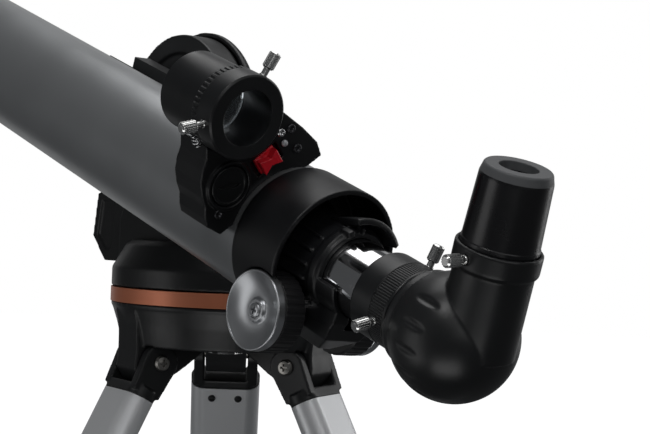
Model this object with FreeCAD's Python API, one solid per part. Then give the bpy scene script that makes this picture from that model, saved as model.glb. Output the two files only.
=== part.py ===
import FreeCAD, Part
import math
import os

# Small refracting telescope on a motorised single-arm mount with a folding tripod.
# Millimetres. +Z up, +Y the way the tube points, +X from the tube towards the arm.
# Origin: on the floor, under the azimuth axis. The tube is raised by TUBE_TILT.
#
# Most parts are drawn in a frame of their own and then carried into place:
#   tube frame   x across, y along the tube axis, z up; origin on the altitude axis
#   ring frame   origin on the azimuth axis, level with the top of the trim ring
#   leg frame    x outwards, z up the leg; origin at the leg's pivot
#   arm frame    x along the spreader arm, z up; origin at its hub pin

os.makedirs("parts", exist_ok=True)
Vector = FreeCAD.Vector
X, Y, Z = Vector(1, 0, 0), Vector(0, 1, 0), Vector(0, 0, 1)
ORIGIN = (0, 0, 0)

# ---- driving dimensions -------------------------------------------------
RING_TOP = 740.0      # top edge of the trim ring above the floor
TUBE_TILT = 19.8      # elevation of the tube, degrees
TUBE_X = -114.9       # tube axis, sideways from the azimuth axis
AXIS_Z = 107.65       # altitude axis above the trim ring
TUBE_R = 35.0         # main tube outside radius
BARREL_R = 15.87      # standard 31.75 mm fittings
CLEARANCE = 0.05
SCREW_HOLE_R = 2.06   # holes for the 4 mm thumbscrews


# ---- helpers ------------------------------------------------------------
def vec(point):
    return Vector(*point)


def box(x0, x1, y0, y1, z0, z1):
    return Part.makeBox(x1 - x0, y1 - y0, z1 - z0, Vector(x0, y0, z0))


def cylinder(radius, start, direction, length):
    return Part.makeCylinder(radius, length, vec(start), vec(direction))


def tube(outer, inner, start, direction, length):
    bore_start = vec(start) - vec(direction) * 0.01
    bore = cylinder(inner, bore_start, direction, length + 0.02)
    return cylinder(outer, start, direction, length).cut(bore)


def prism(points, travel):
    wire = Part.makePolygon([vec(point) for point in points] + [vec(points[0])])
    return Part.Face(wire).extrude(vec(travel))


def extrude_x(outline, x0, x1):
    """outline: (y, z) points."""
    return prism([(x0, y, z) for y, z in outline], (x1 - x0, 0, 0))


def extrude_y(outline, y0, y1):
    """outline: (x, z) points."""
    return prism([(x, y0, z) for x, z in outline], (0, y1 - y0, 0))


def place(shape, start, direction):
    """Carry a shape drawn up Z from the origin to start, facing direction."""
    shape = shape.copy()
    rotation = FreeCAD.Rotation(Z, vec(direction))
    shape.Placement = FreeCAD.Placement(vec(start), rotation).multiply(shape.Placement)
    return shape


def spin(profile, direction=Z, start=ORIGIN):
    """Solid of revolution from (radius, height) points; an inner list is a smooth curve."""
    first = Vector(profile[0][0], 0, profile[0][1])
    edges, last = [], first
    for item in profile[1:]:
        stations = item if isinstance(item, list) else [item]
        points = [Vector(radius, 0, height) for radius, height in stations]
        if (points[0] - last).Length > 1e-7:
            edges.append(Part.makeLine(last, points[0]))
        if len(points) > 1:
            curve = Part.BSplineCurve()
            curve.interpolate(points)
            edges.append(curve.toShape())
        last = points[-1]
    edges.append(Part.makeLine(last, first))
    solid = Part.Face(Part.Wire(edges)).revolve(Vector(0, 0, 0), Z, 360)
    return place(solid, start, direction)


def fluted(outer, inner, count, start, direction, length):
    """A grip: a cylinder with shallow flutes."""
    points = []
    for k in range(count):
        for fraction, radius in ((0.0, outer), (0.42, outer), (0.58, inner), (0.84, inner)):
            angle = 2 * math.pi * (k + fraction) / count
            points.append((radius * math.cos(angle), radius * math.sin(angle), 0))
    return place(prism(points, (0, 0, length)), start, direction)


def stadium(width, thickness, z0, z1):
    """Upright bar with half-round ends, width along y."""
    radius = thickness / 2.0
    centre = (width - thickness) / 2.0
    solid = box(-radius, radius, -centre, centre, z0, z1)
    for y in (-centre, centre):
        solid = solid.fuse(cylinder(radius, (0, y, z0), Z, z1 - z0))
    return solid.removeSplitter()


def fuse(first, *others):
    for other in others:
        first = first.fuse(other)
    return first.removeSplitter()


def cut(shape, *tools):
    for tool in tools:
        shape = shape.cut(tool)
    return shape


def turn(shape, axis, angle, centre=ORIGIN):
    shape = shape.copy()
    shape.rotate(vec(centre), vec(axis), angle)
    return shape


def shift(shape, travel):
    shape = shape.copy()
    shape.translate(vec(travel))
    return shape


def from_tube(shape, roll=0.0):
    """From the tube frame to the object's, first rolled about the tube axis."""
    if roll:
        shape = turn(shape, Y, roll)
    return shift(turn(shape, X, TUBE_TILT), (TUBE_X, 0, RING_TOP + AXIS_Z))


def from_ring(shape):
    return shift(shape, (0, 0, RING_TOP))


def group(*shapes):
    return Part.makeCompound(list(shapes))


def save(name, shape):
    solids = shape.Solids
    piece = solids[0] if len(solids) == 1 else Part.makeCompound(solids)
    piece.exportStep("parts/" + name + ".step")


def cross_recess(start, direction, size, depth):
    """Cutter for a cross-point driver recess in a face at start."""
    width = size * 0.26
    cross = fuse(box(-size, size, -width, width, -depth, 0.2),
                 box(-width, width, -size, size, -depth, 0.2))
    return place(cross, start, direction)


def radial(angle):
    """Unit direction across the tube, angle in degrees from z towards x."""
    angle = math.radians(angle)
    return Vector(math.sin(angle), 0, math.cos(angle))


def thumbscrew(origin, direction, tip, neck, head, end):
    """Knurled thumbscrew; tip, neck, head and end are distances from origin."""
    def at(distance):
        return vec(origin) + direction * distance

    body = cylinder(2.0, at(tip), direction, neck - tip)
    waist = cylinder(1.6, at(neck - 0.5), direction, head - neck + 1.0)
    grip = fluted(2.9, 2.6, 16, at(head + 0.6), direction, end - head - 1.2)
    ends = fuse(place(Part.makeCone(2.2, 2.75, 0.7), at(head), direction),
                place(Part.makeCone(2.75, 1.9, 0.8), at(end - 0.7), direction))
    return fuse(body, waist, grip, ends)


# ---- optical tube (tube frame) -------------------------------------------
TUBE_BACK, TUBE_FRONT = -211.0, 315.0
LENS_R = 31.0         # objective
LENS_BACK = 318.0     # seat of the objective
SPIGOT_R = 33.75      # end fittings, where they enter the tube


def main_tube():
    start = (0, TUBE_BACK, 0)
    return fuse(tube(TUBE_R, 33.8, start, Y, TUBE_FRONT - TUBE_BACK),
                tube(35.3, 34.0, start, Y, 22))


def objective_cell():
    spigot, flange, lip = 17, 15, 2.5      # lengths
    cell = fuse(tube(SPIGOT_R, 30.0, (0, TUBE_FRONT - spigot, 0), Y, spigot),
                tube(37.5, 30.0, (0, TUBE_FRONT, 0), Y, flange),
                tube(37.5, 33.0, (0, TUBE_FRONT + flange, 0), Y, lip))
    return cut(cell, cylinder(LENS_R + CLEARANCE, (0, LENS_BACK, 0), Y, 20))


def objective_lens():
    crown = spin([(0, 322.8), [(0, 322.8), (15.5, 323.201), (LENS_R, 324.406)],
                  [(LENS_R, 328.354), (15.5, 329.214), (0, 329.5)]], Y)
    back = LENS_BACK + 0.02
    flint = spin([(0, back), (LENS_R, back),
                  [(LENS_R, 324.206), (15.5, 323.001), (0, 322.6)]], Y)
    return group(crown, flint)


def dew_shield():
    bore, sleeve_bore = 37.6, 35.1
    step = spin([(sleeve_bore, 303), (36.2, 303), (40, 309), (40, 317), (bore, 317),
                 (bore, 314.9), (sleeve_bore, 314.9)], Y)
    return fuse(tube(40.0, bore, (0, 316, 0), Y, 84),
                tube(41.0, bore, (0, 391, 0), Y, 10),
                tube(38.0, sleeve_bore, (0, 305, 0), Y, 9.9),
                step)


save("main_tube", from_tube(main_tube()))
save("objective_cell", from_tube(objective_cell()))
save("objective_lens", from_tube(objective_lens()))
save("dew_shield", from_tube(dew_shield()))

# ---- focuser (tube frame, rolled) ----------------------------------------
FOCUS_ROLL = 3.5      # degrees
PINION_Y, PINION_Z = -240.0, -29.0
MODULE = 0.8
TOOTH_COUNT = 14
PINION_R = MODULE * TOOTH_COUNT / 2     # pitch radius
PRESSURE = math.radians(20)             # pressure angle
TOOTH_PLAY = 0.06                       # taken off each flank
KNOB_IN, KNOB_OUT = 18.5, 31.0          # knob faces from the tube's centre plane
SHAFT_R = 3.0
TENSION_Y, TENSION_Z = -250.6, -19.6    # tension screw
DRAW_BORE = 18.1                        # bore the drawtube slides in
NECK_R = 20.8

# (radius, y) round the tube axis
CUP = [(34.4, -246), (37.0, -246), (37.0, -213.5), (35.6, -211), (SPIGOT_R, -211),
       (SPIGOT_R, -198), (31.0, -198), (31.0, -211), (DRAW_BORE, -211), (DRAW_BORE, -217),
       (34.0, -217), (34.4, -230)]
NECK_LIP = [(DRAW_BORE, -260), (19.4, -260), (21.9, -257.6), (21.9, -253.5), (NECK_R, -252),
            (DRAW_BORE, -252)]
NECK_ROOT = [(DRAW_BORE, -226), (20.7, -226), (24.0, -217), (24.0, -212), (DRAW_BORE, -212)]
HOOD = [(19.6, -243), (19.6, -240.5), (21.8, -240.5), (25.6, -251), (28.5, -260.4),
        (28.2, -261.4), (25.8, -262.2), (22.4, -253)]
# pinion housing: (y, z) from the side, (x, z) from the end
HOUSING_SIDE = [(-217, -41), (-256, -41), (-268, -31), (-272, -21), (-272, -9), (-217, -9)]
HOUSING_END = [(-13.4, -24), (-11.0, -31), (-3.6, -39.6), (3.6, -39.6), (11.0, -31),
               (13.4, -24), (13.4, -15.8), (16.6, -9), (-16.6, -9), (-13.4, -15.8)]


def on_pinion(x):
    return (x, PINION_Y, PINION_Z)


def neck():
    solid = fuse(tube(NECK_R, DRAW_BORE, (0, -260, 0), Y, 46), spin(NECK_LIP, Y))
    solid = fuse(solid, spin(NECK_ROOT, Y))
    for angle in (-112, -92, -72, -52, 72, 92, 112):
        rib = box(-0.6, 0.6, -250, -216, 20.0, 22.2)
        solid = solid.fuse(turn(rib, Y, angle))
    return solid.removeSplitter()


def hood():
    """Flared visor over the drawtube: a 70 degree sector with two clips."""
    sector = [(0, 0)]
    for k in range(7):
        angle = math.radians(-17 + 70.0 * k / 6)
        sector.append((60 * math.sin(angle), 60 * math.cos(angle)))
    solid = spin(HOOD, Y).common(extrude_y(sector, -270, -210))
    for angle, width in ((-27.0, 3.6), (-8.0, 1.4)):
        clip = box(-width / 2, width / 2, -261.8, -255, 20.4, 23.6)
        solid = solid.fuse(turn(clip, Y, angle))
    return solid


def rear_cell():
    housing = extrude_x(HOUSING_SIDE, -20, 20).common(extrude_y(HOUSING_END, -205, -275))
    # lower half of the neck, carried on as a cradle under the drawtube
    cradle = tube(NECK_R, DRAW_BORE, (0, -272, 0), Y, 20)
    cradle = cradle.common(box(-30, 30, -280, -240, -30, -3.5))
    recess_in, recess_len = KNOB_IN - 0.7, 24     # room for the knobs
    return cut(fuse(spin(CUP, Y), neck(), housing, cradle, hood()),
               cylinder(DRAW_BORE, (0, -275, 0), Y, 80),
               box(-4.3, 4.3, -275, -190, -24.4, -15),     # rack slot
               cylinder(6.75, on_pinion(-5.5), X, 11),
               cylinder(SHAFT_R + CLEARANCE, on_pinion(-40), X, 80),
               cylinder(20.3, on_pinion(recess_in), X, recess_len),
               cylinder(20.3, on_pinion(-recess_in - recess_len), X, recess_len),
               cylinder(2.05, (-20, TENSION_Y, TENSION_Z), X, 16))


def pinion_gear(width):
    """Involute gear on the x axis, tooth 0 pointing up."""
    base = PINION_R * math.cos(PRESSURE)
    tip, root = PINION_R + 0.6, PINION_R - 0.95
    half_tooth = (math.pi / (2 * TOOTH_COUNT) - TOOTH_PLAY / PINION_R
                  + math.tan(PRESSURE) - PRESSURE)
    last_roll = math.sqrt((tip / base) ** 2 - 1)
    flank = [(root, 0.0)]
    for j in range(6):
        roll = last_roll * j / 5.0
        flank.append((base * (math.cos(roll) + roll * math.sin(roll)),
                      base * (math.sin(roll) - roll * math.cos(roll))))
    outline = []
    for k in range(TOOTH_COUNT):
        for side, points in ((-1, flank), (1, flank[::-1])):
            angle = 2 * math.pi * k / TOOTH_COUNT + side * half_tooth
            cosine, sine = math.cos(angle), math.sin(angle)
            for x, y in points:
                y *= -side
                outline.append((-(x * sine + y * cosine), x * cosine - y * sine))
    return extrude_x(outline, -width / 2.0, width / 2.0)


def pinion_shaft():
    gear = shift(pinion_gear(9.0), on_pinion(0))
    return fuse(gear, cylinder(SHAFT_R, on_pinion(-KNOB_OUT), X, 2 * KNOB_OUT))


def focus_knob(side):
    outward = X * side
    grip_in = KNOB_IN + 0.8
    knob = fuse(fluted(19.5, 19.15, 32, on_pinion(side * grip_in), outward,
                       KNOB_OUT - 0.4 - grip_in),
                spin([(0, 0), (18.3, 0), (19.2, 0.9), (0, 0.9)], outward,
                     on_pinion(side * KNOB_IN)),
                cylinder(19.0, on_pinion(side * (KNOB_OUT - 0.6)), outward, 0.6))
    return cut(knob,
               cylinder(SHAFT_R, on_pinion(side * 17.0), outward, 16.0),
               tube(15.5, 6.0, on_pinion(side * (KNOB_IN - 0.5)), outward, 5.5))


# (radius, height above the knob's outer face); dished, with a screw head in the middle
KNOB_CAP = [
    (0, 0), (18.6, 0), [(18.6, 0), (19.15, 0.35), (19.3, 0.9)],
    [(19.3, 4.0), (19.22, 4.6), (18.9, 4.95), (18.5, 5.0), (18.1, 4.75)],
    [(18.1, 4.75), (17.0, 4.15), (14.5, 2.9), (11.8, 1.9), (9.0, 1.35), (6.9, 1.25)],
    [(6.9, 1.25), (6.2, 1.4), (5.7, 2.0), (5.4, 2.75), (4.9, 3.0)],
    (4.0, 3.0), (4.0, 2.4), (3.5, 2.4), [(3.5, 2.4), (3.4, 3.3), (2.6, 3.75), (0, 4.0)]]


def knob_cap(side):
    cap = spin(KNOB_CAP, X * side, on_pinion(side * KNOB_OUT))
    return cap.cut(cross_recess(on_pinion(side * (KNOB_OUT + 3.9)), X * side, 2.0, 1.5))


def tension_screw():
    head = (-18.1, TENSION_Y, TENSION_Z)
    screw = fuse(cylinder(2.0, (-16.0, TENSION_Y, TENSION_Z), X, 11.2),
                 fluted(2.9, 2.6, 12, head, X, 4.5))
    return screw.cut(cross_recess(head, -X, 1.5, 1.0))


def drawtube():
    """Tube with a toothed rack underneath that meshes with the pinion."""
    back, front, half_width = -262, -176, 3.95     # rack
    tip, root = -24.0, -22.4
    pitch = math.pi * MODULE
    pitch_line = PINION_Z + PINION_R
    half_flat = pitch / 4 - TOOTH_PLAY
    half_tip = half_flat - (pitch_line - tip) * math.tan(PRESSURE)
    half_root = half_flat + (root - pitch_line) * math.tan(PRESSURE)
    teeth = []
    for k in range(math.ceil((back - PINION_Y) / pitch),
                   math.floor((front - PINION_Y) / pitch)):
        centre = PINION_Y + (k + 0.5) * pitch
        teeth.append(extrude_x([(centre - half_root, root), (centre + half_root, root),
                                (centre + half_tip, tip), (centre - half_tip, tip)],
                               -half_width, half_width))
    body = tube(18.0, 16.4, (0, -290, 0), Y, 114)
    rack = box(-half_width, half_width, back, front, -22.5, -16.9)
    body = fuse(body, rack).cut(cylinder(16.4, (0, -300, 0), Y, 140))
    return body.fuse(teeth).removeSplitter()


save("rear_cell", from_tube(rear_cell(), FOCUS_ROLL))
save("pinion_shaft", from_tube(pinion_shaft(), FOCUS_ROLL))
save("focus_knobs", from_tube(group(focus_knob(-1), focus_knob(1)), FOCUS_ROLL))
save("knob_caps", from_tube(group(knob_cap(-1), knob_cap(1)), FOCUS_ROLL))
save("tension_screw", from_tube(tension_screw(), FOCUS_ROLL))
save("drawtube", from_tube(drawtube(), FOCUS_ROLL))

# ---- drawtube collar (tube frame) ----------------------------------------
COLLAR_SCREW_ANGLES = (13.0, -105.0)
COLLAR_SCREWS = (0, -301.5, 0)          # where the screw axes meet
# (radius, y) round the tube axis
COLLAR = [(15.95, -308), (19.8, -308), [(19.8, -308), (20.6, -307.7), (20.9, -307.0)],
          (20.9, -306.4), (20.45, -306.3), (20.45, -297.2), (21.0, -297.0), (21.0, -285.2),
          [(21.0, -285.2), (20.8, -284.4), (20.1, -284)], (15.95, -284)]


def drawtube_collar():
    grip = fluted(20.85, 20.5, 100, (0, -306.3, 0), Y, 9.1)
    collar = fuse(spin(COLLAR, Y), grip.cut(cylinder(18.5, (0, -309, 0), Y, 15)))
    collar = cut(collar, cylinder(18.02, (0, -290.03, 0), Y, 8))
    for angle in COLLAR_SCREW_ANGLES:
        start = vec(COLLAR_SCREWS) + radial(angle) * 14
        collar = cut(collar, cylinder(SCREW_HOLE_R, start, radial(angle), 10))
    return collar


save("drawtube_collar", from_tube(drawtube_collar()))
for i, angle in enumerate(COLLAR_SCREW_ANGLES, 1):
    screw = thumbscrew(COLLAR_SCREWS, radial(angle), 16.25, 21.5, 23.9, 32.0)
    save("collar_thumbscrew_%d" % i, from_tube(screw))

# ---- star diagonal and eyepiece (tube frame, rolled) ----------------------
DIAGONAL_ROLL = -5.0  # eyepiece lean about the tube axis, degrees
BEND_Y = -345.0       # where the eyepiece axis crosses the tube axis
BEND = (0, BEND_Y, 0)
MIRROR_R = 17.0
MIRROR_NORMAL = Vector(0, 1, 1).normalize()
DIAGONAL_SCREW = (0, BEND_Y, 43.2)
# (radius, y) round the tube axis
DIAGONAL_FLANGE = [(0, -322), (23.4, -322), (23.4, -311), (22.4, -309.6), (21.0, -309.6),
                   (21.0, -308.2), (0, -308.2)]
# (radius, z) round the eyepiece axis
SOCKET_RIM = [(0, 38.0), (17.9, 38.0), [(17.9, 38.0), (18.9, 38.8), (19.3, 40.2)],
              (19.3, 47.2), [(19.3, 47.2), (19.2, 48.0), (18.5, 48.4)], (0, 48.4)]
EYEPIECE = [(14.2, 15.5), (BARREL_R, 15.5), (BARREL_R, 46.7), (17.4, 46.7), (17.4, 50.2),
            (17.1, 50.6), (16.1, 78.4),
            [(16.1, 78.4), (15.95, 79.4), (15.4, 81.2), (14.9, 82.9), (14.3, 83.5)],
            (8.9, 83.5), (8.6, 83.2), (8.6, 79.5), (9.05, 79.5), (9.05, 74.5), (14.2, 72.5)]


def diagonal_body():
    ball = Part.makeSphere(29.3, Vector(0, -332, 0))
    body = fuse(tube(BARREL_R, 14.0, (0, -308.2, 0), Y, 22.0),
                spin(DIAGONAL_FLANGE, Y),
                ball.common(cylinder(40, (0, -380, 0), Y, 71.8)),
                cylinder(17.8, BEND, Z, 41.0),
                spin(SOCKET_RIM, Z, BEND))
    # finger grooves along the sides of the ball
    for angle in (-141, -118, -95, -72, -49, 49, 72, 95, 118, 141):
        start = radial(angle) * 30.9 + Vector(0, -347, 0)
        body = body.cut(cylinder(2.6, start, Y, 26))
    # the two light paths stop at the mirror plane
    light_side = place(box(-100, 100, -100, 100, 0, 200), BEND, MIRROR_NORMAL)
    tube_bore = cylinder(14.0, (0, -366, 0), Y, 90).common(light_side)
    eye_bore = cylinder(14.0, (0, BEND_Y, -20), Z, 60).common(light_side)
    socket = fuse(cylinder(BARREL_R + 0.08, (0, BEND_Y, 13.5), Z, 40),
                  cylinder(17.75, (0, BEND_Y, 46.6), Z, 5))
    pocket = cylinder(MIRROR_R + CLEARANCE, vec(BEND) - MIRROR_NORMAL * 3.05,
                      MIRROR_NORMAL, 3.05)
    return cut(body, tube_bore, eye_bore, socket, pocket,
               cylinder(SCREW_HOLE_R, vec(DIAGONAL_SCREW) - X * 25, X, 12))


def eyepiece_lens():
    """Two plano-convex lenses, domed upwards."""
    lenses = []
    for radius, z, thickness, dome_r in ((9.0, 74.9, 4.5, 22), (14.1, 53.5, 5, 40)):
        dome = Part.makeSphere(dome_r, Vector(0, BEND_Y, z + thickness - dome_r))
        lenses.append(cylinder(radius, (0, BEND_Y, z), Z, thickness).common(dome))
    return group(*lenses)


mirror = cylinder(MIRROR_R, vec(BEND) - MIRROR_NORMAL * 3.02, MIRROR_NORMAL, 3.0)
screw = thumbscrew(DIAGONAL_SCREW, -X, 16.25, 19.8, 22.4, 30.6)
save("diagonal_body", from_tube(diagonal_body(), DIAGONAL_ROLL))
save("diagonal_mirror", from_tube(mirror, DIAGONAL_ROLL))
save("diagonal_thumbscrew", from_tube(screw, DIAGONAL_ROLL))
save("eyepiece_body", from_tube(spin(EYEPIECE, Z, BEND), DIAGONAL_ROLL))
save("eyepiece_lens", from_tube(eyepiece_lens(), DIAGONAL_ROLL))

# ---- finder (tube frame, rolled) ------------------------------------------
FINDER_ROLL = -45.0   # position round the tube, degrees
FINDER_X, FINDER_Z = 4.5, 81.0          # finder axis
FINDER_SCREW_ANGLES = (20.0, -107.0)    # before the roll
BATTERY_X, BATTERY_Z = -14.6, 47.6
COIN_SLOT_ANGLE = 32.0
# (x, z) of the foot that carries the finder
FINDER_BASE = [(-30.2, 28), (-34.4, 37), (-33.0, 41.6), (-30.2, 46.6), (-29.1, 52),
               (-26.4, 58.6), (-22.6, 63.4), (-18.2, 67.0), (-15.6, 71.5), (-13.4, 77.5),
               (-8, 79), (18, 79), (22.5, 70), (28, 58.8), (33.2, 44.8), (36.6, 32), (35.4, 24)]
# (x, z) of the rocker, pinched in the middle
ROCKER = [(3.4, 40.2), (8.2, 42.6), (14.2, 40.2), (14.2, 48.4), (9.4, 46.0), (3.4, 48.4)]
# (radius, y) round the finder axis
FINDER_TUBE = [(13.5, -222), (19.8, -222), (20.6, -221.2), (20.6, -210.4), (20.0, -210),
               (20.0, -205.4), (19.5, -205), (19.5, -178), (18.6, -177), (16.5, -177),
               (16.5, -196), (13.5, -199)]
# (radius, height) backwards from the cover's front face
BATTERY_COVER = [(0, 0), (10.0, 0), (10.0, 3.4), [(10.0, 3.4), (9.8, 4.1), (9.2, 4.3)],
                 (8.6, 4.3), (8.3, 3.9), (0, 3.9)]


def on_finder(y):
    return Vector(FINDER_X, y, FINDER_Z)


def on_battery(y, rise=0.0):
    return (BATTERY_X, y, BATTERY_Z + rise)


def finder_base():
    base = fuse(extrude_y(FINDER_BASE, -208, -185), tube(12.4, 10.6, on_battery(-209.4), Y, 3))
    base = cut(base,
               cylinder(TUBE_R + 0.36, (0, -215, 0), Y, 40),
               cylinder(20.65, on_finder(-215), Y, 40),
               cylinder(10.06, on_battery(-210), Y, 5.2),
               box(0.6, 17.0, -208.5, -205.3, 39.4, 49.2))     # switch opening
    # chamfer along the front lower edge
    return base.cut(extrude_x([(-184.9, 36), (-191, 24), (-184.9, 24)], -60, 60))


def battery_cover():
    cover = spin(BATTERY_COVER, -Y, on_battery(-204.9))
    upper = cylinder(14.0, on_battery(-209.4, 12.4), Y, 1.9)
    lower = cylinder(14.0, on_battery(-209.4, -12.4), Y, 1.9)
    return cover.cut(turn(upper.common(lower), Y, COIN_SLOT_ANGLE, on_battery(0)))


def finder_switch():
    return fuse(box(2.9, 14.7, -207.9, -205.4, 39.7, 48.9), extrude_y(ROCKER, -212.0, -207.7))


def finder_tube(screw_centre, directions):
    grip = fluted(20.55, 20.0, 48, on_finder(-210.0), Y, 4.0)
    body = fuse(spin(FINDER_TUBE, Y, on_finder(0)),
                grip.cut(cylinder(17.5, on_finder(-211), Y, 8)))
    for direction in directions:
        start = screw_centre + direction * 12
        body = body.cut(cylinder(SCREW_HOLE_R, start, direction, 10))
    return body


finder_screws = on_finder(-216)
directions = [radial(angle - FINDER_ROLL) for angle in FINDER_SCREW_ANGLES]
save("finder_base", from_tube(finder_base(), FINDER_ROLL))
save("finder_battery_cover", from_tube(battery_cover(), FINDER_ROLL))
save("finder_switch", from_tube(finder_switch(), FINDER_ROLL))
save("finder_tube", from_tube(finder_tube(finder_screws, directions), FINDER_ROLL))
for i, direction in enumerate(directions, 1):
    screw = thumbscrew(finder_screws, direction, 14.2, 21.0, 24.4, 32.6)
    save("finder_thumbscrew_%d" % i, from_tube(screw, FINDER_ROLL))
save("finder_lens", from_tube(cylinder(16.45, on_finder(-194.5), Y, 2.5), FINDER_ROLL))

# ---- saddle, dovetail and altitude shaft (tube frame) ----------------------
CLAMP_SCREW_X = 52.5
CLAMP_SCREW_R = 3.0
# (x, z) sections
DOVETAIL = [(30, -18), (42, -18), (43, -15.5), (48.9, -15.5), (54.8, -19.3), (54.8, 19.3),
            (48.9, 15.5), (43, 15.5), (42, 18), (30, 18)]
CLAMP = [(48.95, -28), (60, -28), (63.9, -24), (63.9, 24), (60, 28), (48.95, 28)]
CLAMP_GROOVE = [(48.0, -15.0), (48.9, -15.56), (54.9, -19.42), (54.9, 19.42),
                (48.9, 15.56), (48.0, 15.0)]


def dovetail_bar():
    return extrude_y(DOVETAIL, -55, 66).cut(cylinder(TUBE_R + 0.01, (0, -60, 0), Y, 130))


def saddle_clamp():
    return cut(extrude_y(CLAMP, -30, 30), extrude_y(CLAMP_GROOVE, -31, 31),
               cylinder(CLAMP_SCREW_R + CLEARANCE, (CLAMP_SCREW_X, 0, -30), Z, 15))


def clamp_knob():
    return fuse(cylinder(CLAMP_SCREW_R, (CLAMP_SCREW_X, 0, -29), Z, 9.2),
                fluted(11.0, 10.0, 12, (CLAMP_SCREW_X, 0, -42), Z, 11),
                cylinder(6.0, (CLAMP_SCREW_X, 0, -31.2), Z, 3.0))


def altitude_shaft():
    return fuse(cylinder(20.0, (63.92, 0, 0), X, 3.9), cylinder(8.0, (67.0, 0, 0), X, 38.4),
                fluted(26.0, 24.2, 40, (92.0, 0, 0), X, 6.0))


save("dovetail_bar", from_tube(dovetail_bar()))
save("saddle_clamp", from_tube(saddle_clamp()))
save("clamp_knob", from_tube(clamp_knob()))
save("altitude_shaft", from_tube(altitude_shaft()))

# ---- mount body (ring frame) -----------------------------------------------
AZIMUTH_HOLE_R = 6.06
ARM_Z = 15.02         # underside of the arm, in the drum's notch
INNER_X = -46.9       # the inner shell's face towards the tube
JOINT_X = -29.1       # the outer shell's face towards the inner shell
# (radius, z)
DRUM = [(AZIMUTH_HOLE_R, 0.6), (74.3, 0.6), (74.3, 12.6), (73.4, 14.0), (66.0, 27.0),
        (62.0, 30.0), (14.0, 30.0), (14.0, 26.8), (60.5, 26.8), (62.8, 25.0), (70.4, 12.0),
        (71.2, 10.0), (71.2, 3.6), (AZIMUTH_HOLE_R, 3.6)]
# (y, z) of the block low on the arm's front, and of its pocket
HOLDER = [(87.5, 60), (92, 31), (77, 15.1), (60, 15.1), (50, 26), (40, 62)]
HOLDER_POCKET = [(82.5, 55), (86.5, 32), (77, 22), (70, 22), (66, 55)]
# (radius, x) of the dome round the altitude axis, and of its hollow
DOME = [(0, JOINT_X), (54.5, JOINT_X), (54.5, -25.6),
        [(54.5, -25.6), (52.5, -22.6), (47.0, -18.4), (36.0, -12.6), (20.0, -7.6), (0, -5.6)]]
DOME_HOLLOW = [(0, -29.3), (51.3, -29.3), (51.3, -27.0),
               [(51.3, -27.0), (45.4, -21.8), (34.8, -15.8), (19.4, -10.9), (0, -8.9)]]


def base_shell():
    # the arm stands in a notch of the drum's shoulder
    return spin(DRUM).cut(box(-46.98, 26.1, -8.1, 90, 15.0, 40))


def with_disc(outline, radius, x0, x1):
    """An arm outline joined to the disc round the altitude axis."""
    return fuse(extrude_x(outline, x0, x1), cylinder(radius, (x0, 0, AXIS_Z), X, x1 - x0))


def arm_solid(radius, spread, x0, x1):
    """The arm's side shape: the disc on a root that leans forward."""
    outline = [(-4 - spread, ARM_Z), (66 + spread, ARM_Z), (64 + spread, 30),
               (44 + spread, 70), (radius * 0.93, 96), (0, AXIS_Z), (-radius * 0.88, 84),
               (-26 - spread, 62), (-10 - spread, 44), (-4 - spread, 30)]
    return with_disc(outline, radius, x0, x1)


def arm_hollow():
    radius, wall = 48.3, 3.2
    outline = [(-4 + wall, ARM_Z + wall), (66 - wall, ARM_Z + wall), (64 - wall, 30),
               (44 - wall, 69), (radius * 0.93, 95), (0, AXIS_Z), (-radius * 0.88, 85),
               (-26 + wall * 0.8, 63), (-10 + wall, 44), (-4 + wall, 30)]
    return with_disc(outline, radius, INNER_X + 3.0, -29.0)


def drum_limit(radius=73.8):
    """Keeps the arm within the drum's round."""
    return cylinder(radius, (0, 0, ARM_Z), Z, 200)


HOLLOW_LIMIT_R = 70.6


def arm_inner_shell():
    shell = arm_solid(51.3, 0.0, INNER_X, -29.2).common(drum_limit())
    shell = shell.cut(arm_hollow().common(drum_limit(HOLLOW_LIMIT_R)))
    shell = shell.cut(tube(40.0, 26.0, (-47.0, 0, AXIS_Z), X, 1.3))
    holder = extrude_x(HOLDER, -45, -36).cut(arm_hollow())
    holder = holder.cut(extrude_x(HOLDER_POCKET, -46, -43.6))
    loop = Part.makeTorus(6.5, 1.6, Vector(-42.0, 78, 58.5), X)
    shell = fuse(shell, holder, loop.cut(box(-60, 0, 60, 100, 20, 58)))
    return shell.cut(cylinder(8.05, (-50, 0, AXIS_Z), X, 30))


def ridge(inset, back_x):
    """Ridge from the dome down to the drum; its outer face slopes out towards the foot."""
    outline = [(-5 + inset, ARM_Z + inset * 1.1), (64 - inset, ARM_Z + inset * 1.1),
               (61 - inset, 32), (43 - inset, 68), (31 - inset, AXIS_Z - inset),
               (-25 + inset, AXIS_Z - inset), (-21 + inset, 72), (-7 + inset, 46),
               (-5 + inset, 31)]
    bottom_x, top_x = 23.0 - inset * 1.05, -6.5 - inset * 1.05
    face = [(back_x, ARM_Z - 1), (bottom_x, ARM_Z - 1), (top_x, AXIS_Z + 1),
            (back_x, AXIS_Z + 1)]
    return extrude_x(outline, -29.3, 30.7).common(extrude_y(face, -90, 110))


def arm_outer_shell():
    rim = arm_solid(54.5, 3.0, JOINT_X, -25.4).common(drum_limit())
    shell = fuse(rim, spin(DOME, X, (0, 0, AXIS_Z)), ridge(0.0, -26).common(drum_limit()))
    return cut(shell, spin(DOME_HOLLOW, X, (0, 0, AXIS_Z)),
               ridge(3.0, -29.3).common(drum_limit(HOLLOW_LIMIT_R)))


def drive_gearboxes():
    altitude = fuse(box(-27, -1, 1, 33, AXIS_Z - 66, AXIS_Z - 33),
                    cylinder(10.0, (-14, 17, AXIS_Z - 85), Z, 20))
    azimuth = fuse(box(-47, -18, -37, -12, 3.65, 22.0), cylinder(8.0, (-18.5, -26, 13), X, 18))
    return group(altitude, azimuth)


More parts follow.
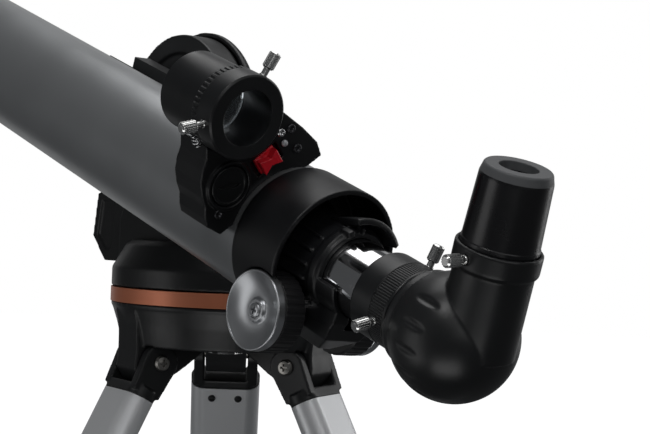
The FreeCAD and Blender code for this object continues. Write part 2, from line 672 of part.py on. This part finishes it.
save("trim_ring", from_ring(tube(74.6, 66.0, (0, 0, -9), Z, 9)))
save("base_shell", from_ring(base_shell()))
save("arm_inner_shell", from_ring(arm_inner_shell()))
save("arm_outer_shell", from_ring(arm_outer_shell()))
save("drive_gearboxes", from_ring(drive_gearboxes()))

# ---- tripod head (ring frame) ----------------------------------------------
LEG_AZIMUTHS = [51.6 + 120 * k for k in range(3)]
LEG_SPREAD = 27.0     # leg angle from vertical, degrees
PIVOT_X, PIVOT_Z = 56.3, -44.9
PIVOT_R = 4.0
EAR_T = 6.8           # thickness of the ears on each leg's fork
# (radius, z)
HUB = [(AZIMUTH_HOLE_R, -33), (15, -33), (15, -15), (62, -15), (63.6, -35.5), (66.6, -35.5),
       (69.9, -22), (73.0, -12.6), (74.0, -11.0), (74.0, -9.05), (65.9, -9.05), (65.9, 0.0),
       (AZIMUTH_HOLE_R, 0.0)]
# (x, z) before turning to a leg's azimuth
LUG = [(30, -14), (72.2, -14), (70.2, -22), (69.4, -38), (70.4, -49), (65, -58), (51, -58),
       (38, -50), (14, -32.9), (14, -14)]
# (radius, distance from the bolt's middle)
BOLT_HEAD = [(0, 21.6), (4.9, 21.6), (4.9, 22.6), (4.0, 24.2), (0, 24.9)]


def on_pivot(y):
    return (PIVOT_X, y, PIVOT_Z)


def tripod_hub():
    hub = spin(HUB)
    for azimuth in LEG_AZIMUTHS:
        hub = hub.fuse(turn(extrude_y(LUG, -13.6, 13.6), Z, azimuth))
    hub = hub.cut(cylinder(AZIMUTH_HOLE_R, (0, 0, -80), Z, 90))
    for azimuth in LEG_AZIMUTHS:
        hub = hub.cut(turn(cylinder(PIVOT_R + CLEARANCE, on_pivot(-30), Y, 60), Z, azimuth))
        # room for the fork's ears under the rim
        for y in (14.6, -21.8):
            hub = hub.cut(turn(cylinder(12.4, on_pivot(y), Y, EAR_T + 0.4), Z, azimuth))
    return hub.removeSplitter()


def azimuth_shaft():
    return fuse(cylinder(6.0, (0, 0, -36), Z, 47), fluted(11, 10.4, 6, (0, 0, -41), Z, 7.9),
                cylinder(11.0, (0, 0, 3.7), Z, 6.5))


def pivot_bolt():
    bolt = fuse(cylinder(PIVOT_R, on_pivot(-22), Y, 44),
                spin(BOLT_HEAD, Y, on_pivot(0)), spin(BOLT_HEAD, -Y, on_pivot(0)))
    return cut(bolt, cross_recess(on_pivot(24.9), Y, 2.3, 1.8),
               cross_recess(on_pivot(-24.9), -Y, 2.3, 1.8))


bolts = [from_ring(turn(pivot_bolt(), Z, azimuth)) for azimuth in LEG_AZIMUTHS]
save("tripod_hub", from_ring(tripod_hub()))
save("azimuth_shaft", from_ring(azimuth_shaft()))
save("leg_pivot_bolts", group(*bolts))

# ---- legs (leg frame) --------------------------------------------------------
LEG_W, LEG_T = 47.0, 19.0
LEG_TUBE_TOP = -24.05
LEG_SCREW_Z = -31.5
LOCK_Z = -425         # lock knob
PIN_DOWN, PIN_IN = 300.0, 28.5          # spreader pin: down the leg, inwards
PIN_R = 2.5
# (x, z) of the spreader bracket's ears
BRACKET_EAR = [(-11.2, -288), (-11.2, -312), (-28, -306.5), (-34, -302.5), (-34, -297.5),
               (-28, -293.5)]


def from_leg(shape, azimuth):
    shape = shift(turn(shape, Y, -LEG_SPREAD), on_pivot(0))
    return from_ring(turn(shape, Z, azimuth))


def leg_top():
    ears = []
    for y in (-21.5, 14.7):
        ear = extrude_y([(-11.4, 0), (11.4, 0), (9.5, -21), (-9.5, -21)], y, y + EAR_T)
        ears.append(fuse(ear, cylinder(11.4, (0, y, 0), Y, EAR_T)))
    top = fuse(ears[0].fuse(ears[1]),
               stadium(LEG_W, LEG_T, LEG_TUBE_TOP + CLEARANCE, -17.4),
               stadium(43.5, 15.5, -50, LEG_TUBE_TOP + 1))
    return top.cut(cylinder(4.06, (0, -30, 0), Y, 60))


def leg_tube():
    body = cut(stadium(LEG_W, LEG_T, -410, LEG_TUBE_TOP), stadium(43.8, 15.8, -411, -20))
    for y in (-9, 9):
        body = body.cut(cylinder(1.55, (-12, y, LEG_SCREW_Z), X, 5))
    return body


def spreader_bracket():
    bracket = cut(stadium(51, 23, -314, -286), stadium(47.1, 19.1, -315, -285))
    for y in (2.8, -7.0):
        bracket = bracket.fuse(extrude_y(BRACKET_EAR, y, y + 4.2))
    return fuse(bracket, cylinder(PIN_R, (-PIN_IN, -6.5, -PIN_DOWN), Y, 13))


def extension_collar():
    bore = stadium(43.5, 15.5, -445, -400)
    collar = cut(stadium(52, 24, -440, -396), stadium(47.1, 19.1, -410.05, -390), bore)
    collar = fuse(collar, cut(cylinder(8.0, (9, 0, LOCK_Z), X, 8), bore))
    return collar.cut(cylinder(3.05, (5, 0, LOCK_Z), X, 20))


def leg_screw(y):
    head = [(0, 0), (2.6, 0), (2.3, 1.0), (1.2, 1.5), (0, 1.5)]
    screw = fuse(cylinder(1.5, (-9.8, y, LEG_SCREW_Z), X, 1.6),
                 spin(head, -X, (-9.55, y, LEG_SCREW_Z)))
    return screw.cut(cross_recess((-11.05, y, LEG_SCREW_Z), -X, 1.3, 0.8))


def lock_knob():
    return fuse(cylinder(3.0, (7.8, 0, LOCK_Z), X, 12),
                fluted(12.0, 10.8, 10, (17.4, 0, LOCK_Z), X, 12.0))


leg_parts = {
    "top": leg_top(),
    "tube": leg_tube(),
    "fittings": group(spreader_bracket(), extension_collar(), leg_screw(-9), leg_screw(9)),
    "extension": cut(stadium(43.2, 15.2, -764.9, -250), stadium(40.0, 12.0, -765, -249)),
    "lock_knob": lock_knob(),
}
foot = cut(stadium(50, 22, -800, -738), stadium(43.25, 15.25, -765, -737))
below_floor = box(-800, 800, -800, 800, -200, 0)
for i, azimuth in enumerate(LEG_AZIMUTHS, 1):
    for name, part in leg_parts.items():
        save("leg_%d_%s" % (i, name), from_leg(part, azimuth))
    save("leg_%d_foot" % i, from_leg(foot, azimuth).cut(below_floor))

# ---- spreader and tray (ring frame) --------------------------------------------
HUB_PIN_X = 20.0
ARM_LEN = 185.0       # between pin centres
SLOT_R = 3.85
# ends of the slot in each arm (arm frame)
SLOT_START = Vector(ARM_LEN + 0.2118, 0, -0.9550)
SLOT_END = Vector(ARM_LEN - 13.5498, 0, -4.0061)
# the arm's slope and the hub's height follow from where the leg's pin stands
spread = math.radians(LEG_SPREAD)
leg_pin_x = PIVOT_X - PIN_IN * math.cos(spread) + PIN_DOWN * math.sin(spread)
leg_pin_z = PIVOT_Z - PIN_IN * math.sin(spread) - PIN_DOWN * math.cos(spread)
arm_slope = math.acos((leg_pin_x - HUB_PIN_X) / ARM_LEN)
spreader_z = leg_pin_z - ARM_LEN * math.sin(arm_slope)


def capsule(radius, y0, y1):
    """Round-ended bar along the arm's slot."""
    run = SLOT_END - SLOT_START
    bar = box(0, run.Length, y0, y1, -radius, radius)
    for x in (0, run.Length):
        bar = bar.fuse(cylinder(radius, (x, y0, 0), Y, y1 - y0))
    return shift(turn(bar, Y, -math.degrees(math.atan2(run.z, run.x))), SLOT_START)


def spreader_arm():
    arm = fuse(box(0, 172, -2.5, 2.5, -6, 6), cylinder(6.0, (0, -2.5, 0), Y, 5))
    return cut(fuse(arm, capsule(6.4, -2.5, 2.5)), capsule(SLOT_R, -4, 4),
               cylinder(PIN_R + CLEARANCE, (0, -4, 0), Y, 8))


def spreader_hub():
    hub = cylinder(12.8, (0, 0, -6), Z, 12)
    for azimuth in LEG_AZIMUTHS:
        for y in (2.8, -6.6):
            ear = fuse(box(4, HUB_PIN_X, y, y + 3.8, -5.6, 5.6),
                       cylinder(5.6, (HUB_PIN_X, y, 0), Y, 3.8))
            hub = hub.fuse(turn(ear, Z, azimuth))
        hub = hub.fuse(turn(cylinder(PIN_R, (HUB_PIN_X, -6.5, 0), Y, 13), Z, azimuth))
    return hub.removeSplitter()


def tray_lobe():
    """Rimmed round plate with a large hole in its middle and a small one beside it."""
    x, radius = 75, 42.0
    rim = cylinder(radius, (x, 0, 6), Z, 7).cut(cylinder(39.5, (x, 0, 5), Z, 9))
    lobe = cylinder(radius, (x, 0, 6), Z, 4).fuse(rim)
    return cut(lobe.fuse(box(0, 45, -11, 11, 6, 10)),
               cylinder(16.2, (x, 0, 0), Z, 20), cylinder(3.0, (103, 14, 0), Z, 20))


def accessory_tray():
    tray = cylinder(17.0, (0, 0, 6), Z, 4)
    for azimuth in LEG_AZIMUTHS:
        tray = tray.fuse(turn(tray_lobe(), Z, azimuth + 60))
    # slots over the spreader arms
    for azimuth in LEG_AZIMUTHS:
        tray = tray.cut(turn(box(13.0, 60, -4.5, 4.5, 0, 20), Z, azimuth))
    return tray.removeSplitter().fuse(cylinder(11.0, (0, 0, 9.5), Z, 9.5)).removeSplitter()


arm = turn(spreader_arm(), Y, -math.degrees(arm_slope))
arm = shift(arm, (HUB_PIN_X, 0, spreader_z))
for i, azimuth in enumerate(LEG_AZIMUTHS, 1):
    save("spreader_arm_%d" % i, from_ring(turn(arm, Z, azimuth)))
save("spreader_hub", from_ring(shift(spreader_hub(), (0, 0, spreader_z))))
save("accessory_tray", from_ring(shift(accessory_tray(), (0, 0, spreader_z))))
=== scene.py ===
"""Refractor telescope on a single-arm mount and tripod: materials, small finder parts and stage.

Metres, +Z up. The tube lies across X, its front towards +Y and raised by TUBE_TILT.
"""
import math
import bpy
import bmesh
from mathutils import Matrix, Vector


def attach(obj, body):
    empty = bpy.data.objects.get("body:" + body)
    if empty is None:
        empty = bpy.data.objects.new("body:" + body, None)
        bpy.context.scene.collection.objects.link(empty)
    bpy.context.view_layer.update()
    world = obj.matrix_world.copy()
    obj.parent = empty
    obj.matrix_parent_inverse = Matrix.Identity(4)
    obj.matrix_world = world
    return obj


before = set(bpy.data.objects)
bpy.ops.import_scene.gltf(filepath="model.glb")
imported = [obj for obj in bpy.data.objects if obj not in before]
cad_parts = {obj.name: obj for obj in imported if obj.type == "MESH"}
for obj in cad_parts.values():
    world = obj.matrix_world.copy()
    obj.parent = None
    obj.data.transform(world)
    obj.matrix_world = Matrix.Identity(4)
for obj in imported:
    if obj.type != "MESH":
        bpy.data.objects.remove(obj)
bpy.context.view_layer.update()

MM = 0.001


scene = bpy.context.scene

# ---- frames: x across the tube, y along it to the front, z out from its axis ----
TUBE_TILT = math.radians(19.8)
DATUM_HEIGHT = 0.740              # the tube's and the camera's heights are counted from here
TUBE_OFFSET = (-0.1149, 0, DATUM_HEIGHT + 0.10765)
TUBE_FRAME = Matrix.Translation(TUBE_OFFSET) @ Matrix.Rotation(TUBE_TILT, 4, "X")


def rolled(degrees):
    """The tube's frame, rolled about the tube's axis."""
    return TUBE_FRAME @ Matrix.Rotation(math.radians(degrees), 4, "Y")


EYEPIECE_FRAME = rolled(-5.0) @ Matrix.Translation((0, -0.345, 0))
FINDER_FRAME = rolled(-45.0)


# ---- shader helpers ----
def add_node(tree, kind, inputs=None, **properties):
    """Adds a shader node; an input given as a socket is linked, any other is set."""
    node = tree.nodes.new("ShaderNode" + kind)
    for key, value in properties.items():
        setattr(node, key, value)
    for key, value in (inputs or {}).items():
        if isinstance(value, bpy.types.NodeSocket):
            tree.links.new(value, node.inputs[key])
        else:
            node.inputs[key].default_value = value
    return node


def first_node(mat, kind):
    return [n for n in mat.node_tree.nodes if n.type == kind][0]


def material(name, color, roughness, bump, scale, metal=0.0, spread=0.08, wear=0.0,
             specular=0.5, edge=0.0005, color_spread=0.04):
    """Noise in roughness, colour and height, with worn and rounded edges.

    scale: fineness of the bump; spread, color_spread: variation either side of the mean;
    wear: lightening of the edges; edge: radius of the rounding in the normal.
    """
    mat = bpy.data.materials.new(name)
    mat.use_nodes = True
    tree = mat.node_tree
    tree.nodes.clear()
    output = add_node(tree, "OutputMaterial")
    shader = add_node(tree, "BsdfPrincipled",
                      {"Metallic": metal, "Specular IOR Level": specular})
    tree.links.new(shader.outputs[0], output.inputs[0])
    place = add_node(tree, "TexCoord").outputs["Object"]
    mapping = add_node(tree, "Mapping", {0: place})
    fine = add_node(tree, "TexNoise",
                    {"Vector": mapping.outputs[0], "Scale": scale, "Detail": 6.0})
    broad = add_node(tree, "TexNoise", {"Vector": place, "Scale": 38.0, "Detail": 5.0})
    patches = broad.outputs["Fac"]

    rough_range = add_node(tree, "MapRange", {
        "Value": patches, "From Min": 0.3, "From Max": 0.7,
        "To Min": max(0.02, roughness - spread), "To Max": min(1.0, roughness + spread)})
    tree.links.new(rough_range.outputs[0], shader.inputs["Roughness"])

    color_mix = add_node(tree, "Mix", {
        "Factor": patches,
        "A": (*[c * (1 - color_spread) for c in color], 1),
        "B": (*[min(1, c * (1 + color_spread)) for c in color], 1)}, data_type="RGBA")
    bevel = add_node(tree, "Bevel", {"Radius": edge}, samples=4)
    if wear:
        # An edge shows where the rounded normal leaves the true one.
        geometry = add_node(tree, "NewGeometry")
        facing = add_node(tree, "VectorMath", {0: bevel.outputs[0],
                                               1: geometry.outputs["Normal"]},
                          operation="DOT_PRODUCT")
        wear_range = add_node(tree, "MapRange", {
            "Value": facing.outputs["Value"], "From Min": 0.995, "From Max": 0.90,
            "To Min": 0.0, "To Max": wear})
        patchy = add_node(tree, "Math", {0: wear_range.outputs[0], 1: patches},
                          operation="MULTIPLY")
        color_mix = add_node(tree, "Mix", {
            "Factor": patchy.outputs[0], "A": color_mix.outputs["Result"],
            "B": (*[min(1, c * 1.6 + 0.06) for c in color], 1)}, data_type="RGBA")
    tree.links.new(color_mix.outputs["Result"], shader.inputs["Base Color"])
    relief = add_node(tree, "Bump", {"Strength": bump, "Distance": 0.0002,
                                     "Height": fine.outputs["Fac"],
                                     "Normal": bevel.outputs[0]})
    tree.links.new(relief.outputs[0], shader.inputs["Normal"])
    return mat


def clear_glass():
    mat = material("glass", color=(0.80, 0.86, 0.90), roughness=0.02, bump=0.02, scale=300,
                   spread=0.01)
    shader = first_node(mat, "BSDF_PRINCIPLED")
    shader.inputs["Transmission Weight"].default_value = 0.9
    shader.inputs["IOR"].default_value = 1.5
    return mat


def add_band(mat, other, axes, low=-1.0, high=10.0):
    """Gives mat the look of other between two heights along the z axis of axes."""
    tree = mat.node_tree
    surface = first_node(mat, "OUTPUT_MATERIAL").inputs[0]
    base = surface.links[0].from_socket
    source = first_node(other, "BSDF_PRINCIPLED").inputs
    rough_range = first_node(other, "MAP_RANGE").inputs
    shader = add_node(tree, "BsdfPrincipled", {
        "Metallic": source["Metallic"].default_value,
        "Specular IOR Level": source["Specular IOR Level"].default_value,
        "Base Color": first_node(other, "MIX").inputs["A"].default_value,
        "Roughness": (rough_range["To Min"].default_value
                      + rough_range["To Max"].default_value) / 2})
    normal = first_node(mat, "BSDF_PRINCIPLED").inputs["Normal"].links[0].from_socket
    tree.links.new(normal, shader.inputs["Normal"])
    axis = axes.to_3x3() @ Vector((0, 0, 1))
    origin = axis.dot(axes.translation)
    place = add_node(tree, "TexCoord")
    along = add_node(tree, "VectorMath", {0: place.outputs["Object"], 1: axis},
                     operation="DOT_PRODUCT").outputs["Value"]
    above = add_node(tree, "Math", {0: along, 1: origin + low}, operation="GREATER_THAN")
    below = add_node(tree, "Math", {0: along, 1: origin + high}, operation="LESS_THAN")
    inside = add_node(tree, "Math", {0: above.outputs[0], 1: below.outputs[0]},
                      operation="MULTIPLY")
    mix = add_node(tree, "MixShader", {0: inside.outputs[0], 1: base, 2: shader.outputs[0]})
    tree.links.new(mix.outputs[0], surface)


# ---- materials ----
PLASTIC = material("black_plastic", color=(0.0110, 0.0116, 0.0124), roughness=0.40, bump=0.09,
                   scale=1500, wear=0.30, specular=0.40, edge=0.0006)
SMOOTH_PLASTIC = material("black_plastic_smooth", color=(0.0090, 0.0095, 0.0104),
                          roughness=0.34, bump=0.05, scale=1600, wear=0.28, specular=0.38)
CELL = material("black_cell", color=(0.0065, 0.0068, 0.0078), roughness=0.40, bump=0.05,
                scale=1600, wear=0.22, specular=0.34)
DARK = material("black_inside", color=(0.0040, 0.0040, 0.0050), roughness=0.55, bump=0.12,
                scale=1400, wear=0.12, specular=0.25, edge=0.0004)
BLACK_PAINT = material("black_paint", color=(0.0070, 0.0070, 0.0080), roughness=0.30,
                       bump=0.04, scale=1500, wear=0.25, specular=0.40)
SILVER = material("silver_paint", color=(0.34, 0.35, 0.36), roughness=0.31, metal=0.70,
                  bump=0.05, scale=2600, wear=0.1, spread=0.03, color_spread=0.015,
                  edge=0.0003)
LEG = material("leg_aluminium", color=(0.74, 0.75, 0.765), roughness=0.38, metal=0.4,
               bump=0.05, scale=2200, wear=0.15, spread=0.04, color_spread=0.02, edge=0.0006)
CAP = material("silver_cap", color=(0.44, 0.45, 0.465), roughness=0.31, metal=0.92,
               bump=0.03, scale=2500, spread=0.04, edge=0.0004, wear=0.1)
CHROME = material("chrome", color=(0.72, 0.72, 0.73), roughness=0.10, metal=1.0, bump=0.02,
                  scale=1200, spread=0.04, edge=0.0002)
STEEL = material("steel", color=(0.50, 0.50, 0.50), roughness=0.28, metal=1.0, bump=0.05,
                 scale=1800, spread=0.06, edge=0.0003)
GRIP = material("black_grip", color=(0.0110, 0.0110, 0.0120), roughness=0.45, bump=0.08,
                scale=1500, wear=0.35, specular=0.4, edge=0.0004)
COPPER = material("copper_ring", color=(0.72, 0.24, 0.125), roughness=0.40, metal=0.35,
                  bump=0.06, scale=1800, wear=0.25)
RED = material("red_plastic", color=(0.74, 0.014, 0.028), roughness=0.30, bump=0.03,
               scale=900, edge=0.0004, wear=0.1)
RUBBER = material("foot_rubber", color=(0.018, 0.018, 0.018), roughness=0.7, bump=0.2,
                  scale=900, edge=0.0008)
MIRROR = material("mirror", color=(0.85, 0.87, 0.88), roughness=0.03, metal=1.0, bump=0.01,
                  scale=500, spread=0.01)
GLASS = clear_glass()
# Chrome of the drawtube, which carries a painted dark reflection on its underside (see the band
# below).
TUBE_CHROME = material("chrome_tube", color=(0.72, 0.72, 0.73), roughness=0.09, metal=1.0,
                       bump=0.02, scale=1200, spread=0.04, edge=0.0002)
NICKEL = material("nickel", color=(0.74, 0.74, 0.73), roughness=0.22, metal=1.0, bump=0.03,
                  scale=1500, spread=0.05, edge=0.0002)
BOLT = material("bolt", color=(0.30, 0.29, 0.27), roughness=0.32, metal=0.95, bump=0.05,
                scale=1800, edge=0.0003, wear=0.3)
DARK_STEEL = material("steel_dark", color=(0.05, 0.05, 0.055), roughness=0.35, metal=0.8,
                      bump=0.05, scale=1800, spread=0.06, edge=0.0002)
LAMP = material("lamp_window", color=(0.42, 0.43, 0.45), roughness=0.15, bump=0.02,
                scale=900, spread=0.05, edge=0.0002)
GREY_RUBBER = material("grey_rubber", color=(0.085, 0.088, 0.092), roughness=0.55,
                       bump=0.12, scale=1500, wear=0.2)

# The eyepiece is rubber at its outer end and chrome at its inner end.
add_band(BLACK_PAINT, GREY_RUBBER, EYEPIECE_FRAME, low=0.0796)
add_band(BLACK_PAINT, CHROME, EYEPIECE_FRAME, high=0.0466)
# Painted reflection: the chrome drawtube's underside gets the dark inside material, standing in
# for the dark surroundings that it reflects below.
add_band(TUBE_CHROME, DARK, TUBE_FRAME, high=-0.0040)

# ---- CAD pieces: material of each ----
PIECES_BY_MATERIAL = [
    (SILVER, "main_tube"),
    (DARK, "objective_cell drive_gearboxes"),
    (GLASS, "objective_lens eyepiece_lens finder_lens"),
    (PLASTIC, "dew_shield diagonal_body saddle_clamp base_shell arm_inner_shell"
              " arm_outer_shell tripod_hub spreader_hub accessory_tray"),
    (CELL, "rear_cell finder_base"),
    (STEEL, "pinion_shaft altitude_shaft azimuth_shaft"),
    (GRIP, "focus_knobs clamp_knob"),
    (CAP, "knob_caps"),
    (CHROME, "tension_screw"),
    (TUBE_CHROME, "drawtube"),
    (SMOOTH_PLASTIC, "drawtube_collar finder_battery_cover finder_tube dovetail_bar"),
    (NICKEL, "collar_thumbscrew_1 collar_thumbscrew_2 diagonal_thumbscrew"
             " finder_thumbscrew_1 finder_thumbscrew_2"),
    (MIRROR, "diagonal_mirror"),
    (BLACK_PAINT, "eyepiece_body"),
    (RED, "finder_switch"),
    (COPPER, "trim_ring"),
    (BOLT, "leg_pivot_bolts"),
]
for leg in (1, 2, 3):
    PIECES_BY_MATERIAL += [
        (PLASTIC, f"leg_{leg}_top leg_{leg}_fittings"),
        (LEG, f"leg_{leg}_tube leg_{leg}_extension"),
        (RUBBER, f"leg_{leg}_foot"),
        (GRIP, f"leg_{leg}_lock_knob"),
        (SMOOTH_PLASTIC, f"spreader_arm_{leg}"),
    ]
MATERIAL_OF = {piece: mat for mat, pieces in PIECES_BY_MATERIAL for piece in pieces.split()}

# Moulded pieces with filleted edges: voxel size, smoothing passes
MOULDED = {
    "diagonal_body": (0.0006, 4), "finder_base": (0.00045, 4), "rear_cell": (0.0005, 3),
    "leg_1_top": (0.0007, 4), "leg_2_top": (0.0007, 4), "leg_3_top": (0.0007, 4),
    "tripod_hub": (0.0009, 5), "arm_inner_shell": (0.0009, 5),
    "arm_outer_shell": (0.0010, 9), "base_shell": (0.0010, 4), "finder_switch": (0.00025, 3),
}


def fillet_edges(piece, voxel, passes):
    """Welds, remeshes and smooths a piece, which rounds its edges."""
    weld = piece.modifiers.new("weld", "WELD")
    weld.merge_threshold = 1e-6
    remesh = piece.modifiers.new("remesh", "REMESH")
    remesh.mode = "VOXEL"
    remesh.voxel_size = voxel * 1.0
    remesh.adaptivity = 0.0
    remesh.use_smooth_shade = True
    smooth = piece.modifiers.new("smooth", "SMOOTH")
    smooth.factor = 0.5
    smooth.iterations = passes


for name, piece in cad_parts.items():
    piece.data.materials.clear()
    piece.data.materials.append(MATERIAL_OF[name])
    if name in MOULDED:
        fillet_edges(piece, *MOULDED[name])


# ---- mesh helpers ----
def circle(radius, height, sides):
    return [Vector((radius * math.cos(2 * math.pi * k / sides),
                    radius * math.sin(2 * math.pi * k / sides), height))
            for k in range(sides)]


def lathe(bm, profile, place, sides=30):
    """Turned form about the z axis of place; profile runs from axis to axis, in mm."""
    rows = []
    for radius, height in profile:
        if radius == 0:
            spots = [Vector((0, 0, height * MM))]
        else:
            spots = circle(radius * MM, height * MM, sides)
        rows.append([bm.verts.new(place @ spot) for spot in spots])
    for row, following in zip(rows, rows[1:]):
        for k in range(sides):
            after = (k + 1) % sides
            corners = [row[k % len(row)], row[after % len(row)],
                       following[after % len(following)], following[k % len(following)]]
            corners = list(dict.fromkeys(corners))
            if len(corners) > 2:
                bm.faces.new(corners)


def sweep(bm, path, radius, sides):
    """Round wire along path, closed at both ends."""
    rows = []
    for i, point in enumerate(path):
        ahead = path[min(len(path) - 1, i + 1)] - path[max(0, i - 1)]
        turn = ahead.to_track_quat("Z", "Y")
        rows.append([bm.verts.new(point + turn @ spot) for spot in circle(radius, 0, sides)])
    for row, following in zip(rows, rows[1:]):
        # Start each ring at the vertex nearest the last ring's first, so the skin won't twist.
        shift = min(range(sides), key=lambda s: (row[0].co - following[s].co).length)
        for k in range(sides):
            bm.faces.new((row[k], row[(k + 1) % sides],
                          following[(k + 1 + shift) % sides], following[(k + shift) % sides]))
    bm.faces.new(rows[0])
    bm.faces.new(list(reversed(rows[-1])))


def tube_piece(name, bm, mat):
    """Smooth-shaded object that rides on the tube."""
    mesh = bpy.data.meshes.new(name)
    bmesh.ops.recalc_face_normals(bm, faces=bm.faces)
    bm.to_mesh(mesh)
    bm.free()
    for face in mesh.polygons:
        face.use_smooth = True
    piece = bpy.data.objects.new(name, mesh)
    scene.collection.objects.link(piece)
    mesh.materials.append(mat)
    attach(piece, "tube")


# ---- turned parts on the finder's rear panel ----
PANEL_Y = -0.208                                # the panel's place along the tube
FACING_REAR = Matrix.Rotation(math.radians(90), 4, "X")     # local z to the tube's rear

# Profiles: (radius, height towards the rear), mm
SCREW = [(0, 0.0), (2.5, 0.0), (2.5, 0.25), (2.2, 0.6), (1.5, 0.68), (1.25, 0.5),
         (1.1, 0.15), (0, 0.1)]
WINDOW = [(0, 0), (1.7, 0), (1.7, 0.9), (1.35, 1.6), (0.8, 1.95), (0, 2.1)]
ADJUSTER = [(0, 0), (2.1, 0), (2.1, 0.7), (1.8, 1.0), (1.0, 1.0), (0.8, 0.6), (0, 0.6)]

# name, x across and z out in the finder's frame (mm), profile, material, slot
PANEL_PARTS = [
    ("finder_panel_screw_1", 27.2, 49.0, SCREW, DARK_STEEL, "steel"),
    ("finder_panel_screw_2", 25.4, 37.4, SCREW, DARK_STEEL, "steel"),
    ("finder_panel_screw_3", -26.0, 38.4, SCREW, DARK_STEEL, "steel"),
    ("finder_lamp_window", 20.5, 45.5, WINDOW, LAMP, "glass"),
    ("finder_adjuster", 21.5, 51.5, ADJUSTER, CHROME, "chrome"),
]
for name, across, out, profile, mat, slot in PANEL_PARTS:
    bm = bmesh.new()
    spot = Matrix.Translation((across * MM, PANEL_Y, out * MM))
    lathe(bm, profile, FINDER_FRAME @ spot @ FACING_REAR)
    tube_piece(name, bm, mat)


def build_finder_spring():
    """Small coil under the finder tube; its ends are in the finder's frame."""
    top = Vector((-0.0152, -0.2035, 0.0790))
    bottom = Vector((-0.0168, -0.2035, 0.0742))
    coil_radius, wire_radius = 0.0019, 0.00042
    turns, steps = 3, 24                        # steps are per turn
    axis = (bottom - top).normalized()
    side = axis.orthogonal().normalized()
    other_side = axis.cross(side)
    path = []
    for k in range(turns * steps + 1):
        angle = 2 * math.pi * k / steps
        centre = top + (bottom - top) * (k / (turns * steps))
        radial = side * math.cos(angle) + other_side * math.sin(angle)
        path.append(FINDER_FRAME @ (centre + radial * coil_radius))
    bm = bmesh.new()
    sweep(bm, path, wire_radius, sides=8)
    tube_piece("finder_spring", bm, CHROME)


build_finder_spring()


# ---- stage ----
def build_floor():
    """White glowing disc that gives no light or reflection to the telescope."""
    sides = 72
    bm = bmesh.new()
    rings = [[bm.verts.new(spot) for spot in circle(radius, -0.0005, sides)]
             for radius in (1.0, 3.0, 12.0)]
    bm.faces.new(rings[0])
    for ring, outer in zip(rings, rings[1:]):
        for k in range(sides):
            after = (k + 1) % sides
            bm.faces.new((ring[k], ring[after], outer[after], outer[k]))
    mesh = bpy.data.meshes.new("floor")
    bm.to_mesh(mesh)
    bm.free()
    floor = bpy.data.objects.new("floor", mesh)
    scene.collection.objects.link(floor)
    mat = material("floor", color=(0.90, 0.90, 0.90), roughness=0.7, bump=0.02, scale=60,
                   spread=0.05, specular=0.1, color_spread=0.01)
    shader = first_node(mat, "BSDF_PRINCIPLED")
    shader.inputs["Emission Color"].default_value = (1, 1, 1, 1)
    shader.inputs["Emission Strength"].default_value = 1.0
    mesh.materials.append(mat)
    floor.visible_diffuse = False
    floor.visible_glossy = False


def build_world():
    """White to the camera, dim grey to everything else."""
    world = bpy.data.worlds.new("studio")
    scene.world = world
    world.use_nodes = True
    tree = world.node_tree
    tree.nodes.clear()
    output = add_node(tree, "OutputWorld")
    ambient = add_node(tree, "Background", {"Color": (0.62, 0.64, 0.66, 1), "Strength": 0.11})
    backdrop = add_node(tree, "Background", {"Color": (1, 1, 1, 1), "Strength": 1.0})
    rays = add_node(tree, "LightPath")
    mix = add_node(tree, "MixShader", {0: rays.outputs["Is Camera Ray"],
                                       1: ambient.outputs[0], 2: backdrop.outputs[0]})
    tree.links.new(mix.outputs[0], output.inputs[0])


build_floor()
build_world()

# ---- camera's place and axes; yaw turns from +y towards +x ----
YAW, PITCH, ROLL = 0.71902, 0.010985, 0.038671      # radians
CAMERA_PLACE = Vector((-0.593360, -0.770035, 0.038266 + DATUM_HEIGHT))
forward = Vector((math.sin(YAW) * math.cos(PITCH), math.cos(YAW) * math.cos(PITCH),
                  math.sin(PITCH)))
right = Vector((math.cos(YAW), -math.sin(YAW), 0))
up = right.cross(forward)


def from_camera(sideways, rise, depth):
    """Point to the right of, above and ahead of the camera, with its tilt left out."""
    level = Vector((forward.x, forward.y, 0)).normalized()
    return CAMERA_PLACE + right * sideways + Vector((0, 0, rise)) + level * depth


LIGHT_TARGET = from_camera(0.05, 0.0, 0.9)
# name, place from the camera (right, up, ahead), (width, height), watts
SOFTBOXES = [
    ("top", (0.15, 1.5, 1.1), (1.6, 1.2), 13),
    ("key", (-0.3, 1.1, -0.1), (0.5, 0.4), 5),
    ("left_low", (-1.5, -0.45, 0.35), (0.8, 1.4), 4),
    ("right_rim", (1.4, 0.35, 1.7), (0.5, 1.5), 5),
    ("front_fill", (0.7, 0.7, -0.8), (1.6, 1.2), 6),
    ("low_front", (-0.2, -0.9, 0.0), (0.8, 0.5), 2.5),
    ("back_wall", (0.0, 0.3, 2.6), (3.0, 2.0), 5),
]
for name, offset, size, watts in SOFTBOXES:
    light = bpy.data.lights.new(name, "AREA")
    light.shape = "RECTANGLE"
    light.size, light.size_y = size
    light.energy = watts
    box = bpy.data.objects.new(name, light)
    scene.collection.objects.link(box)
    box.location = from_camera(*offset)
    box.rotation_mode = "QUATERNION"
    aim = LIGHT_TARGET - from_camera(*offset)
    box.rotation_quaternion = aim.to_track_quat("-Z", "Y")
    box.visible_camera = False


def build_camera():
    lens = bpy.data.cameras.new("camera")
    lens.lens = 83.39
    lens.sensor_width = 36.0
    lens.sensor_fit = "HORIZONTAL"
    lens.clip_start = 0.02
    lens.clip_end = 60
    camera = bpy.data.objects.new("camera", lens)
    scene.collection.objects.link(camera)
    rolled_right = right * math.cos(ROLL) + up * math.sin(ROLL)
    rolled_up = -right * math.sin(ROLL) + up * math.cos(ROLL)
    pose = Matrix((rolled_right, rolled_up, -forward)).transposed().to_4x4()
    pose.translation = CAMERA_PLACE
    camera.matrix_world = pose
    scene.camera = camera


build_camera()
scene.view_settings.view_transform = "Standard"
